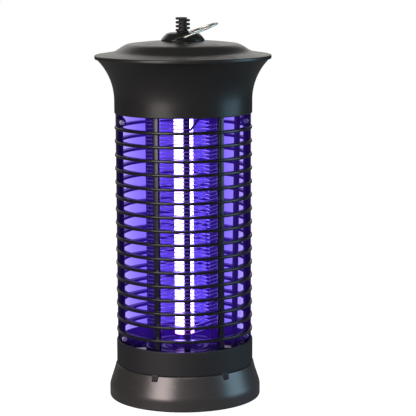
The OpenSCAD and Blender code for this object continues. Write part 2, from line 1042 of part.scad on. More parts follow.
module strain_relief() {
    body_z = boss_top + relief_flange_h;
    ribs = floor((relief_h - rib_h - rib_pitch / 2) / rib_pitch);
    color("#161618")
        difference() {
            union() {
                translate([0, 0, boss_top])
                    cylinder(r = relief_d / 2, h = relief_flange_h);
                translate([0, 0, relief_foot_z])
                    cylinder(r = neck_r, h = boss_top - relief_foot_z + 1);
                translate([0, 0, relief_foot_z])
                    cylinder(r = neck_r + 2, h = relief_nut_h);
                translate([0, 0, body_z - eps])
                    cylinder(r = relief_core_r, h = relief_h - relief_flange_h);
                for (i = [0:ribs]) {
                    translate([0, 0, body_z + 1.2 + i * rib_pitch])
                        half_rib();
                    translate([0, 0, body_z + 1.2 + (i - 0.5) * rib_pitch + (i == 0 ? 0.6 : 0)])
                        mirror([1, 0, 0])
                            half_rib();
                }
            }
            translate([0, 0, relief_foot_z - 1])
                cylinder(r = relief_bore_r, h = 60);
        }
}

// A straight length of the loop's wire along +X; its children carry on from its end
module wire_run(length) {
    translate([-wire_lap, 0, 0])
        rotate([0, 90, 0])
            cylinder(r = loop_r, h = length + 2 * wire_lap);
    translate([length, 0, 0])
        children();
}

// A bend that starts along +X, to the left for a positive angle; its children carry on from its end
module wire_bend(radius, angle) {
    turn = sign(angle);
    translate([0, turn * radius, 0]) {
        rotate([0, 0, turn > 0 ? -90 : 90 + angle])
            rotate_extrude(angle = abs(angle))
                translate([radius, 0])
                    circle(r = loop_r - 0.03);
        rotate([0, 0, angle])
            translate([0, -turn * radius, 0])
                children();
    }
}

// One side of the loop, lying flat along +X: pivot pin, leg and the double bend to the bow
module loop_side() {
    step_in = leg_y - loop_bow_r;
    run = loop_bow_s - leg_len - bow_lead;
    swing = 1.7 * atan(step_in / run);
    swing_r = (run * sin(swing) - step_in * cos(swing)) / (2 - 2 * cos(swing));
    link = (step_in - 2 * swing_r * (1 - cos(swing))) / sin(swing);
    translate([0, -flat_y + pin_reach, 0])
        rotate([0, 0, -90])
            wire_run(leg_y - pin_bend_r - flat_y + pin_reach)
                wire_bend(pin_bend_r, 90)
                    wire_run(leg_len - pin_bend_r)
                        wire_bend(swing_r, swing)
                            wire_run(link)
                                wire_bend(swing_r, -swing)
                                    wire_run(bow_lead);
}

module hanging_loop() {
    color("#c9c5b8")
        translate([0, 0, pivot_z])
            rotate([0, -loop_lean, 0]) {
                loop_side();
                mirror([0, 1, 0])
                    loop_side();
                translate([loop_bow_s, -loop_bow_r, 0])
                    wire_bend(loop_bow_r, 180);
            }
}

collection_tray();
lower_collar();
lower_deck();
deck_screws();
lower_grid_plate();
lower_lampholder();
lamp_tube();
lamp_end_caps();
lamp_pins();
grid_post(0);  // grid_post_front
grid_post(1);  // grid_post_right
grid_post(2);  // grid_post_rear
grid_post(3);  // grid_post_left
live_grid_wire();
return_grid_wire();
grid_post_screws();
upper_grid_plate();
upper_deck();
upper_deck_screws();
upper_lampholder();
front_guard();
rear_guard();
guard_screws();
lamp_lead_sleeve();
grid_leads();
top_housing();
driver_board();
board_standoffs();
board_screws();
step_up_transformer();
film_capacitors();
rectifier_diodes();
discharge_resistor();
lamp_ballast();
terminal_block();
top_lid();
lid_screws();
hanger_boss();
boss_screws();
strain_relief();
hanging_loop();
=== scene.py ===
import json
import math

import bmesh
import bpy
from mathutils import Matrix, Vector


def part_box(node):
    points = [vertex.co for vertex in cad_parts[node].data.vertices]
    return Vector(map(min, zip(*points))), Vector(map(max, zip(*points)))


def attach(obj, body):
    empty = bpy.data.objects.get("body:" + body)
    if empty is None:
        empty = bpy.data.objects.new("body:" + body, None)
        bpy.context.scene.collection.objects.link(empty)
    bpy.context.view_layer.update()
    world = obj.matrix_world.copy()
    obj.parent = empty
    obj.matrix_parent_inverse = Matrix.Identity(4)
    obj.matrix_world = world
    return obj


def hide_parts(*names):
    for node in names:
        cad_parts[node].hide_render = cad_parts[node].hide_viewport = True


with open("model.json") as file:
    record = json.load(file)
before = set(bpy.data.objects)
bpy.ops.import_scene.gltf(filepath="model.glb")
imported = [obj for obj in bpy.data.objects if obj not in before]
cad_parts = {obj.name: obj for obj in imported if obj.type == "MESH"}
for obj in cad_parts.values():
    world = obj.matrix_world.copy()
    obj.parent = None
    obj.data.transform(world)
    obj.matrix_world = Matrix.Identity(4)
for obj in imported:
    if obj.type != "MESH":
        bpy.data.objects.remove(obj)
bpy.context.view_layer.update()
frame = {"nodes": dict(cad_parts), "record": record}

MM = 0.001
MERGE = 1e-7
SEGMENTS = 160
FINE_SEGMENTS = 192
SHARP = math.radians(38)
SHARP_JOINED = math.radians(40)
SHARP_MADE = math.radians(50)
QUARTER = math.pi / 2
BODY = "main_body"

# ---- Sizes in millimetres, as in the part's source; levels come from the CAD nodes ----

# Guard
CAGE_R = 57.2
RING_DEPTH = 5.9
RING_H = 2.3
RING_COUNT = 16
BAR_ANGLES = (-30, 30)
BAR_W = 5.0
BAR_T = 3.6
RIM_H = 3.2
FLANGE_Y = -1.35
FLANGE_T = 2.4

# Tray, collar and the clips between them
WALL = 2.2
COLLAR_R = CAGE_R + 0.2
SKIRT_R = CAGE_R + 0.1
TRAY_RIM_R = COLLAR_R + 0.3
TRAY_R = TRAY_RIM_R + 5.9
TRAY_BAND_H = 10.0
CLIP_W = 6.0
CLIP_H = 4.5
CLIP_TAPER = 0.75
CLIP_ROOT = 1.0
CLIP_ANGLES = range(30, 390, 60)

# Housing, lid and boss
FLARE_R = 48.0
SKIRT_H = 10.5
CROWN_R = 52.0
CROWN_SAG_R = 360.0
LID_OVERHANG = 0.2
BRIM_SLOPE = 0.17
SHOULDER_W = 14.0
BOSS_R = 18.0
FLAT_Y = 15.7

# Guard screws, with a cross recess
HEAD_TOP = 1.25
RECESS_HALF = 0.28
RECESS_REACH = 1.35
RECESS_DEPTH = 0.7

# Lamp, which has its end colour up to DARK_END and its full one from BRIGHT_FROM
LAMP_D = 15.9
DARK_END = 4.0
BRIGHT_FROM = 22.0

# Grid
POST_W = 5.0
GRID_R = 30.6
WIRE_R = 0.45
WIRE_PITCH = 3.1

# Hanging loop
LOOP_R = 0.9
LOOP_BOW_R = 12.4
BOW_STEPS = 24
PIVOT_RISE = 3.4
LOOP_LEN = 31.1
LOOP_LEAN = 20.5

# Strain relief
RELIEF_R = 6.0
CORD_R = 2.5
RIB_PITCH = 3.2
RIB_SWEEP = 196.0


def low(node):
    """Height of a CAD node's lowest point, in millimetres."""
    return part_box(node)[0].z / MM


def high(node):
    """Height of a CAD node's highest point, in millimetres."""
    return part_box(node)[1].z / MM


TRAY_H = high("collection_tray")
COLLAR_Z = TRAY_H + 0.3
COLLAR_TOP = high("lower_collar")
DECK_TOP = high("lower_deck")
PLATE_TOP = high("lower_grid_plate")
HOUSING_Z = low("top_housing")
FLARE_Z = HOUSING_Z + SKIRT_H
RIM_Z = high("top_housing")
LID_TOP = high("top_lid")
BOSS_Z = low("hanger_boss")
BOSS_TOP = high("hanger_boss")
GUARD_LOW = low("front_guard")
GUARD_HIGH = high("front_guard")
FIRST_RING_TOP = COLLAR_TOP + 9.7
RING_PITCH = (HOUSING_Z - 10.75 - FIRST_RING_TOP) / (RING_COUNT - 1)
WIRE_LOW = FIRST_RING_TOP - 0.4
WIRE_TURNS = math.floor((HOUSING_Z - 2.5 - WIRE_LOW - WIRE_PITCH) / (2 * WIRE_PITCH))
SCREW_X = CAGE_R - RING_DEPTH
JOINTS = {joint["name"]: joint for joint in frame["record"]["behaviour"]["joints"]}
TRAY_TRAVEL = JOINTS["tray_pull"]["range_m"][1]
SCREW_LEVELS = (COLLAR_TOP + 1.2, HOUSING_Z - 7.1)

# ---- Strengths and colours; the haze's are per metre, for red, green and blue ----

LAMP_STRENGTH = 22.0
LAMP_COLOUR = (0.7, 0.66, 1.0, 1.0)
LAMP_END_COLOUR = (0.75, 0.25, 0.72, 1.0)
BRASS = (0.78, 0.58, 0.3, 1.0)
STEEL = (0.62, 0.62, 0.64, 1.0)
DUST = (0.32, 0.31, 0.3, 1.0)
WHITE = (1.0, 1.0, 1.0, 1.0)
HAZE_ABSORBED = (17.0, 21.0, 2.5)
HAZE_GLOW = (0.45, 0.1, 2.4)
GRID_ABSORBED = (12.0, 15.0, 7.0)
GRID_GLOW = (0.3, 0.05, 1.5)
PAPER_GREY = (0.3, 0.3, 0.3, 1.0)
PAPER_GLOW = 0.96
PAPER_HALF = 60.0
SKY_SEEN = 0.88
SKY_LIGHT = 0.12
LIGHTS_AIM = Vector((0, 0, 0.16))
CAMERA_PLACE = (-0.12017, -1.37352, 0.37425)


# ---- Node graphs ----


class Socket:
    """A node's output that takes part in sums; each sign adds a Math node."""

    def __init__(self, graph, socket):
        self.graph = graph
        self.socket = socket

    def __add__(self, other):
        return self.graph.math("ADD", self, other)

    def __sub__(self, other):
        return self.graph.math("SUBTRACT", self, other)

    def __rsub__(self, other):
        return self.graph.math("SUBTRACT", other, self)

    def __mul__(self, other):
        return self.graph.math("MULTIPLY", self, other)

    def __lt__(self, other):
        return self.graph.math("LESS_THAN", self, other)

    __radd__ = __add__
    __rmul__ = __mul__


def pick(sockets, key):
    """A socket by its place, its identifier or the name that is switched on."""
    if isinstance(key, int):
        return sockets[key]
    for socket in sockets:
        if socket.identifier == key:
            return socket
    return next(socket for socket in sockets if socket.name == key and socket.enabled)


class Graph:
    """Adds nodes to a shader or geometry tree."""

    def __init__(self, tree):
        self.tree = tree

    def node(self, kind, inputs=None, out=0, **settings):
        node = self.tree.nodes.new(kind)
        for name, value in settings.items():
            setattr(node, name, value)
        self.feed(node, inputs or {})
        return Socket(self, pick(node.outputs, out))

    def feed(self, node, inputs):
        for key, value in inputs.items():
            socket = pick(node.inputs, key)
            if isinstance(value, Socket):
                self.tree.links.new(value.socket, socket)
            else:
                socket.default_value = value

    def math(self, operation, *values):
        return self.node("ShaderNodeMath", dict(enumerate(values)), operation=operation)

    def clamp(self, value, low_end=0.0, high_end=1.0):
        return self.math("MINIMUM", self.math("MAXIMUM", value, low_end), high_end)


def srgb(red, green, blue):
    """A display colour, 0 to 255, as the linear colour that a shader takes."""

    def linear(level):
        share = level / 255
        return share / 12.92 if share <= 0.04045 else ((share + 0.055) / 1.055) ** 2.4

    return (linear(red), linear(green), linear(blue), 1.0)


def scaled(colour, factor):
    return tuple(min(1.0, channel * factor) for channel in colour[:3]) + (1.0,)


class Finish(Graph):
    """A material's shader tree, with its Principled shader as the surface."""

    def __init__(self, name, **fixed):
        self.material = bpy.data.materials.new(name)
        self.material.use_nodes = True
        super().__init__(self.material.node_tree)
        self.surface = self.tree.nodes["Principled BSDF"]
        self.feed(self.surface, {key.replace("_", " "): value for key, value in fixed.items()})
        self.place = self.node("ShaderNodeTexCoord", out="Object")

    def noise(self, scale, detail=2.0, place=None):
        inputs = {"Vector": place or self.place, "Scale": scale, "Detail": detail}
        return self.node("ShaderNodeTexNoise", inputs)

    def stretched(self, x, y, z):
        """The object's coordinates, scaled differently along each axis."""
        inputs = {"Vector": self.place, "Scale": (x, y, z)}
        return self.node("ShaderNodeMapping", inputs)

    def specks(self, scale, size):
        """Sparse round specks: 1 inside a speck, 0 outside."""
        distance = self.node("ShaderNodeTexVoronoi", {"Vector": self.place, "Scale": scale})
        return distance < size

    def height(self):
        return self.node("ShaderNodeSeparateXYZ", {"Vector": self.place}, out="Z")

    def span(self, value, start, end, low_end=0.0, high_end=1.0):
        """A value carried smoothly from one range to another."""
        inputs = {"Value": value, "From Min": start, "From Max": end}
        inputs.update({"To Min": low_end, "To Max": high_end})
        return self.node("ShaderNodeMapRange", inputs, interpolation_type="SMOOTHSTEP")

    def mix(self, factor, first, second):
        inputs = {"Factor_Float": factor, "A_Color": first, "B_Color": second}
        return self.node("ShaderNodeMix", inputs, out="Result_Color", data_type="RGBA")

    def bump(self, height, depth, strength=1.0):
        """Makes the surface's normal follow a height from 0 to 1, depth in millimetres."""
        inputs = {"Height": height, "Distance": depth * MM, "Strength": strength}
        self.feed(self.surface, {"Normal": self.node("ShaderNodeBump", inputs)})

    def wear(self, **links):
        self.feed(self.surface, {key.replace("_", " "): value for key, value in links.items()})
        return self.material


# ---- Finishes ----


def moulded(name, colour, roughness, grain=1500.0, depth=0.02, spread=0.35, dust=0.25, **fixed):
    """Moulded plastic: slow tone drift, fine grain, a little dust and faint handling marks."""
    finish = Finish(name, **fixed)
    drift = finish.noise(14.0, 3.0)
    fine = finish.noise(grain, 2.0)
    marks = finish.noise(60.0, 5.0, finish.stretched(1.0, 1.0, 5.0))
    rubbed = finish.span(marks, 0.6, 0.74)
    speck = finish.specks(420.0, 0.055) * finish.span(drift, 0.45, 0.65)
    tone = finish.mix(drift * 0.7 + fine * 0.3, scaled(colour, 1 - spread), scaled(colour, 1 + spread))
    worn = finish.mix(rubbed * 0.22, tone, scaled(colour, 2.2))
    dusted = finish.mix(speck * dust, worn, DUST)
    finish.bump(fine, depth, 0.5)
    gloss = finish.clamp((drift - 0.5) * 0.16 + (fine - 0.5) * 0.12 + rubbed * 0.07 + roughness)
    return finish.wear(Base_Color=dusted, Roughness=gloss)


def plated(name, colour, roughness, streak=(1.0, 1.0, 1.0), grain=900.0):
    """Plated or drawn metal with fine streaks and a slight tarnish."""
    finish = Finish(name, Metallic=1.0)
    lines = finish.noise(grain, 3.0, finish.stretched(*streak))
    tarnish = finish.span(finish.noise(90.0, 4.0), 0.5, 0.72)
    clean = finish.mix(lines, scaled(colour, 0.82), scaled(colour, 1.12))
    aged = finish.mix(tarnish * 0.4, clean, scaled(colour, 0.5))
    finish.bump(lines, 0.012, 0.4)
    return finish.wear(Base_Color=aged, Roughness=finish.clamp(lines * 0.14 + tarnish * 0.2 + roughness))


def lit_lamp():
    """Phosphor-coated glass that glows violet-white, dimmer close to its caps."""
    finish = Finish("lamp_glow", Roughness=0.12, Emission_Strength=LAMP_STRENGTH)
    level = finish.height()
    foot_z = low("lamp_tube")
    head_z = high("lamp_tube")
    foot = finish.span(level, (foot_z + DARK_END) * MM, (foot_z + BRIGHT_FROM) * MM)
    head = finish.span(level, (head_z - DARK_END) * MM, (head_z - BRIGHT_FROM) * MM)
    grain = finish.noise(220.0, 3.0)
    powder = finish.mix(grain, (0.86, 0.84, 0.95, 1.0), (0.97, 0.96, 1.0, 1.0))
    glow = finish.mix(grain * 0.3 + 0.5, scaled(LAMP_COLOUR, 0.9), LAMP_COLOUR)
    dimmed = finish.mix(foot * head, LAMP_END_COLOUR, glow)
    return finish.wear(Base_Color=powder, Emission_Color=dimmed)


def circuit_board():
    finish = Finish("board_laminate", Roughness=0.35)
    weave = finish.node("ShaderNodeTexBrick", {"Vector": finish.place, "Scale": 160.0}, out="Fac")
    drift = finish.noise(120.0, 4.0)
    mask = finish.mix(drift, srgb(18, 74, 38), srgb(34, 104, 52))
    traced = finish.mix(weave * 0.35, mask, srgb(70, 140, 80))
    finish.bump(weave, 0.04)
    return finish.wear(Base_Color=traced, Roughness=finish.clamp(drift * 0.2 + 0.28))


def wound(name, core, copper, level, half_height):
    """A laminated core with enamelled copper turns standing out of it."""
    finish = Finish(name, Roughness=0.4)
    grain = finish.noise(700.0, 3.0)
    sheets = finish.node("ShaderNodeTexWave", {"Vector": finish.place, "Scale": 500.0, "Distortion": 0.6})
    near = finish.math("ABSOLUTE", finish.height() - level) < half_height
    dark = finish.mix(sheets, scaled(core, 0.7), scaled(core, 1.25))
    coil = finish.mix(grain, scaled(copper, 0.75), scaled(copper, 1.15))
    finish.bump(sheets, 0.05)
    colour = finish.mix(near * 0.6, dark, coil)
    return finish.wear(Base_Color=colour, Roughness=finish.clamp(grain * 0.3 + 0.3))


finishes = {
    "base_plastic": moulded(
        "base_plastic", srgb(88, 84, 85), 0.33, spread=0.12, depth=0.008, Metallic=0.75
    ),
    "collar_plastic": moulded("collar_plastic", srgb(24, 23, 28), 0.6, depth=0.02),
    "gloss_black": moulded("gloss_black", srgb(14, 13, 17), 0.16, depth=0.006, dust=0.5),
    "screw_steel": plated("screw_steel", STEEL, 0.42),
    "holder_plastic": moulded("holder_plastic", srgb(22, 22, 26), 0.45),
    "lamp_glass": lit_lamp(),
    "cap_metal": plated("cap_metal", (0.78, 0.78, 0.82, 1.0), 0.22, streak=(1.0, 1.0, 12.0)),
    "pin_brass": plated("pin_brass", BRASS, 0.25),
    "post_plastic": moulded("post_plastic", srgb(12, 11, 18), 0.35, dust=0.0),
    "grid_wire": plated("grid_wire", (0.95, 0.89, 0.82, 1.0), 0.4),
    "guard_plastic": moulded("guard_plastic", srgb(15, 14, 17), 0.27, depth=0.008, dust=0.2),
    "sleeve_rubber": moulded("sleeve_rubber", srgb(17, 17, 19), 0.42, grain=900.0),
    "housing_plastic": moulded("housing_plastic", srgb(26, 25, 26), 0.36, spread=0.2, depth=0.008),
    "board_green": circuit_board(),
    "white_plastic": moulded("white_plastic", srgb(224, 222, 214), 0.5, spread=0.06, dust=0.0),
    "ferrite": wound("ferrite_core", srgb(52, 52, 54), srgb(150, 86, 42), 0.264, 0.004),
    "capacitor_red": moulded("capacitor_dip", srgb(150, 62, 34), 0.25, spread=0.15),
    "diode_black": moulded("diode_epoxy", srgb(26, 26, 28), 0.3),
    "resistor_tan": moulded("resistor_lacquer", srgb(176, 150, 106), 0.4, spread=0.15),
    "ballast_steel": wound("ballast_steel", srgb(96, 96, 102), srgb(158, 94, 46), 0.2529, 0.0045),
    "lid_plastic": moulded("lid_plastic", srgb(30, 29, 28), 0.36, spread=0.18, depth=0.008),
    "boss_plastic": moulded("boss_plastic", srgb(20, 22, 22), 0.3, depth=0.01, dust=0.4),
    "relief_rubber": moulded("relief_rubber", srgb(24, 24, 25), 0.55, grain=700.0, depth=0.06, spread=0.5),
    "loop_wire": plated("loop_wire", (0.95, 0.92, 0.85, 1.0), 0.36),
}
for part in frame["record"]["subparts"]:
    slots = frame["nodes"][part["node"]].data.materials
    slots.clear()
    slots.append(finishes[part["material_slot"]])


# ---- Mesh tools ----


def add_piece(name, mesh, slot):
    """A new object from a mesh, with its finish."""
    piece = bpy.data.objects.new(name, mesh)
    bpy.context.scene.collection.objects.link(piece)
    mesh.materials.clear()
    mesh.materials.append(finishes[slot])
    return piece


def settled(name, work):
    """Turns a bmesh into a closed mesh that faces outwards."""
    bmesh.ops.remove_doubles(work, verts=work.verts, dist=MERGE)
    bmesh.ops.recalc_face_normals(work, faces=work.faces)
    mesh = bpy.data.meshes.new(name)
    work.to_mesh(mesh)
    work.free()
    return mesh


def from_bmesh(name, work, slot):
    """Turns a bmesh into a smooth-shaded piece that keeps its sharp edges."""
    mesh = settled(name, work)
    mesh.shade_smooth()
    mesh.set_sharp_from_angle(angle=SHARP)
    return add_piece(name, mesh, slot)


def corner_arc(here, before, after, rounding, steps):
    """A soft curve round one corner, with a point on each side that keeps the flats flat."""
    reach = min(rounding, 0.45 * before.length, 0.45 * after.length)
    start = here + before.normalized() * reach
    end = here + after.normalized() * reach
    points = [here + before.normalized() * reach * 1.1]
    for step in range(steps + 1):
        t = step / steps
        points.append((1 - t) ** 2 * start + 2 * t * (1 - t) * here + t * t * end)
    points.append(here + after.normalized() * reach * 1.1)
    return points


def rounded(corners, closed=True, steps=4):
    """Outline points with arcs at the corners; each corner is (radius, height, rounding) in millimetres."""
    points = []
    count = len(corners)
    for index, (x, y, rounding) in enumerate(corners):
        here = Vector((x, y))
        inside = closed or 0 < index < count - 1
        if rounding <= 0 or not inside:
            points.append(here)
            continue
        before = Vector(corners[index - 1][:2]) - here
        after = Vector(corners[(index + 1) % count][:2]) - here
        points += corner_arc(here, before, after, rounding, steps)
    return [(point.x, point.y) for point in points]


def row_of(work, radius, level, segments):
    """Vertices round the Z axis at one height, or a single one on the axis."""
    if radius == 0:
        return [work.verts.new((0, 0, level * MM))]
    row = []
    for step in range(segments):
        angle = math.tau * step / segments
        x = radius * MM * math.cos(angle)
        y = radius * MM * math.sin(angle)
        row.append(work.verts.new((x, y, level * MM)))
    return row


def turned(work, outline, closed=True, segments=SEGMENTS):
    """Sweeps an outline of (radius, height) round the Z axis into a bmesh."""
    rows = [row_of(work, radius, level, segments) for radius, level in outline]
    pairs = list(zip(rows, rows[1:]))
    if closed:
        pairs.append((rows[-1], rows[0]))
    for lower, upper in pairs:
        for step in range(segments):
            ahead = (step + 1) % segments
            places = ((lower, step), (lower, ahead), (upper, ahead), (upper, step))
            corners = list(dict.fromkeys(row[place % len(row)] for row, place in places))
            if len(corners) > 2:
                work.faces.new(corners)


def turned_piece(name, corners, slot, closed=True, segments=SEGMENTS, steps=4):
    work = bmesh.new()
    turned(work, rounded(corners, closed, steps), closed, segments)
    return from_bmesh(name, work, slot)


def bevelled(work, edges, rounding, segments):
    """Rounds edges, rounding in millimetres, and gives the faces that this makes."""
    offset = rounding * MM
    made = bmesh.ops.bevel(work, geom=edges, offset=offset, segments=segments, profile=0.5, affect="EDGES")
    return made["faces"]


def turn_about(work, axis, angle, verts):
    bmesh.ops.rotate(work, cent=(0, 0, 0), matrix=Matrix.Rotation(angle, 3, axis), verts=verts)


def beam(work, size, centre, turn, rounding):
    """Adds a bar with rounded edges, sizes in millimetres, then turns it about Z by degrees."""
    corners = bmesh.ops.create_cube(work, size=1.0)["verts"]
    bmesh.ops.scale(work, vec=Vector(size) * MM, verts=corners)
    edges = list({edge for vert in corners for edge in vert.link_edges})
    shaped = bevelled(work, edges, rounding, 3)
    verts = {vert for face in shaped for vert in face.verts}
    verts |= {vert for vert in corners if vert.is_valid}
    bmesh.ops.translate(work, vec=Vector(centre) * MM, verts=list(verts))
    turn_about(work, "Z", math.radians(turn), list(verts))


def shaped_mesh(piece):
    """A plain mesh of a piece as its modifiers shape it."""
    evaluated = piece.evaluated_get(bpy.context.evaluated_depsgraph_get())
    return bpy.data.meshes.new_from_object(evaluated)


def cut(piece, cutter):
    """Takes the cutter's shape out of a piece."""
    modifier = piece.modifiers.new("cut", "BOOLEAN")
    modifier.object = cutter
    modifier.operation = "DIFFERENCE"
    modifier.solver = "EXACT"
    mesh = shaped_mesh(piece)
    piece.modifiers.remove(modifier)
    mesh.set_sharp_from_angle(angle=SHARP)
    piece.data = mesh
    bpy.data.objects.remove(cutter)


def stand_for(piece, body, *nodes):
    """The piece rides on a body and is shown instead of those CAD nodes."""
    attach(piece, body)
    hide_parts(*nodes)
    return piece


# ---- Geometry trees ----


class Maker(Graph):
    """A geometry tree with named inputs, turned into plain meshes."""

    def __init__(self, name):
        super().__init__(bpy.data.node_groups.new(name, "GeometryNodeTree"))
        self.ports = self.tree.interface
        self.ports.new_socket("Geometry", in_out="OUTPUT", socket_type="NodeSocketGeometry")
        self.ports.new_socket("Source", in_out="INPUT", socket_type="NodeSocketGeometry")
        self.entry = self.tree.nodes.new("NodeGroupInput")
        self.exit = self.tree.nodes.new("NodeGroupOutput")
        self.source = Socket(self, self.entry.outputs["Source"])

    def value(self, name, kind="NodeSocketFloat"):
        self.ports.new_socket(name, in_out="INPUT", socket_type=kind)
        return Socket(self, self.entry.outputs[name])

    def finish(self, geometry):
        smooth = self.node("GeometryNodeSetShadeSmooth", {"Geometry": geometry})
        real = self.node("GeometryNodeRealizeInstances", {"Geometry": smooth})
        finish = self.value("Finish", "NodeSocketMaterial")
        dressed = self.node("GeometryNodeSetMaterial", {"Geometry": real, "Material": finish})
        self.tree.links.new(dressed.socket, self.exit.inputs[0])

    def make(self, name, slot, values, source=None):
        """Runs the tree once and keeps its result as a plain mesh piece."""
        seed = source or bpy.data.meshes.new(name + "_seed")
        carrier = bpy.data.objects.new(name + "_carrier", seed)
        bpy.context.scene.collection.objects.link(carrier)
        modifier = carrier.modifiers.new("shape", "NODES")
        modifier.node_group = self.tree
        known = dict(values, Finish=finishes[slot])
        for item in self.ports.items_tree:
            if item.item_type == "SOCKET" and item.in_out == "INPUT" and item.name in known:
                modifier[item.identifier] = known[item.name]
        mesh = shaped_mesh(carrier)
        bpy.data.objects.remove(carrier)
        mesh.set_sharp_from_angle(angle=SHARP_MADE)
        return add_piece(name, mesh, slot)


def ring_stack_maker():
    """Equal ring sections one above the other, from an angle over a sweep."""
    tree = Maker("ring_stack")
    arc_inputs = {
        "Resolution": tree.value("Steps", "NodeSocketInt"),
        "Radius": tree.value("Radius"),
        "Start Angle": tree.value("Start angle"),
        "Sweep Angle": tree.value("Sweep"),
    }
    arc = tree.node("GeometryNodeCurveArc", arc_inputs)
    upright = tree.node("GeometryNodeSetCurveNormal", {"Curve": arc}, mode="Z_UP")
    section_inputs = {"Width": tree.value("Depth"), "Height": tree.value("Height")}
    section = tree.node("GeometryNodeCurvePrimitiveQuadrilateral", section_inputs)
    fillet_inputs = {"Curve": section, "Radius": tree.value("Edge"), "Count": 3, "Limit Radius": True}
    soft = tree.node("GeometryNodeFilletCurve", fillet_inputs, mode="POLY")
    ring_inputs = {"Curve": upright, "Profile Curve": soft, "Fill Caps": True}
    ring = tree.node("GeometryNodeCurveToMesh", ring_inputs)
    step = tree.node("ShaderNodeCombineXYZ", {"Z": tree.value("Pitch")})
    start = tree.node("ShaderNodeCombineXYZ", {"Z": tree.value("First level")})
    line_inputs = {"Count": tree.value("Count", "NodeSocketInt"), "Start Location": start, "Offset": step}
    levels = tree.node("GeometryNodeMeshLine", line_inputs)
    tree.finish(tree.node("GeometryNodeInstanceOnPoints", {"Points": levels, "Instance": ring}))
    return tree


def wire_maker():
    """A round wire along a path of points, with its corners eased."""
    tree = Maker("wire")
    path = tree.node("GeometryNodeMeshToCurve", {"Mesh": tree.source})
    fillet_inputs = {"Curve": path, "Radius": tree.value("Bend"), "Count": 4, "Limit Radius": True}
    eased = tree.node("GeometryNodeFilletCurve", fillet_inputs, mode="POLY")
    section_inputs = {"Resolution": tree.value("Sides", "NodeSocketInt"), "Radius": tree.value("Radius")}
    section = tree.node("GeometryNodeCurvePrimitiveCircle", section_inputs, mode="RADIUS")
    upright = tree.node("GeometryNodeSetCurveNormal", {"Curve": eased}, mode="MINIMUM_TWIST")
    tube_inputs = {"Curve": upright, "Profile Curve": section, "Fill Caps": True}
    tree.finish(tree.node("GeometryNodeCurveToMesh", tube_inputs))
    return tree


def scatter_maker():
    """Copies of one mesh at the points of the source, all turned the same way."""
    tree = Maker("scatter")
    pattern = tree.value("Piece", "NodeSocketObject")
    piece = tree.node("GeometryNodeObjectInfo", {"Object": pattern}, out="Geometry")
    points = tree.node("GeometryNodeMeshToPoints", {"Mesh": tree.source})
    turn = tree.value("Turn", "NodeSocketVector")
    instance_inputs = {"Points": points, "Instance": piece, "Rotation": turn}
    tree.finish(tree.node("GeometryNodeInstanceOnPoints", instance_inputs))
    return tree


def path_mesh(name, points):
    """Edges from point to point, given in millimetres."""
    mesh = bpy.data.meshes.new(name)
    edges = [(index, index + 1) for index in range(len(points) - 1)]
    mesh.from_pydata([Vector(point) * MM for point in points], edges, [])
    return mesh


ring_stack = ring_stack_maker()
wire = wire_maker()
scatter = scatter_maker()


def rings(name, slot, reach, height, edge, first, count, pitch, start, sweep, steps=72):
    """A stack of ring sections; reach is the inner and outer radius, first the lowest ring's middle."""
    inner, outer = reach
    values = {
        "Steps": steps,
        "Radius": (inner + outer) / 2 * MM,
        "Start angle": math.radians(start),
        "Sweep": math.radians(sweep),
        "Depth": (outer - inner) * MM,
        "Height": height * MM,
        "Edge": edge * MM,
        "Pitch": pitch * MM,
        "First level": first * MM,
        "Count": count,
    }
    return ring_stack.make(name, slot, values)


def wire_along(name, slot, points, radius, bend, sides=12):
    values = {"Bend": bend * MM, "Sides": sides, "Radius": radius * MM}
    return wire.make(name, slot, values, path_mesh(name + "_path", points))


def joined(name, slot, pieces):
    """Several meshes as one piece."""
    work = bmesh.new()
    for piece in pieces:
        work.from_mesh(piece.data)
        bpy.data.objects.remove(piece)
    mesh = bpy.data.meshes.new(name)
    work.to_mesh(mesh)
    work.free()
    mesh.set_sharp_from_angle(angle=SHARP_JOINED)
    return add_piece(name, mesh, slot)


# ---- Tray and collar ----


def tray_slope(level):
    return TRAY_RIM_R + (TRAY_R - TRAY_RIM_R) * (TRAY_H - level) / (TRAY_H - TRAY_BAND_H)


def clip_outline(grow):
    """A clip seen from the front, as (across, height), narrower at its foot than at its root."""
    half = CLIP_W / 2 + grow
    foot = half * CLIP_TAPER
    root = COLLAR_Z + CLIP_ROOT
    bottom = COLLAR_Z - CLIP_H - grow
    right = [(half, root), (half, COLLAR_Z), (foot, bottom)]
    return [(-half, root)] + right + [(-foot, bottom), (-half, COLLAR_Z)]


def add_clip(work, outline, inner, outer, rounding):
    """One clip shape at the front, from inner to outer radius; gives its vertices."""
    near = [work.verts.new((x * MM, -inner(z) * MM, z * MM)) for x, z in outline]
    far = [work.verts.new((x * MM, -outer(z) * MM, z * MM)) for x, z in outline]
    faces = [work.faces.new(near)]
    front = work.faces.new(list(reversed(far)))
    for step in range(len(outline)):
        ahead = (step + 1) % len(outline)
        faces.append(work.faces.new((near[ahead], near[step], far[step], far[ahead])))
    if not rounding:
        return near + far
    faces += bevelled(work, list(front.edges), rounding, 2)
    return list({vert for face in faces if face.is_valid for vert in face.verts})


def clip_prism(grow, inner, outer, rounding):
    """The clip shapes round the rim, standing out from inner to outer radius."""
    work = bmesh.new()
    for angle in CLIP_ANGLES:
        verts = add_clip(work, clip_outline(grow), inner, outer, rounding)
        turn_about(work, "Z", math.radians(angle), verts)
    return work


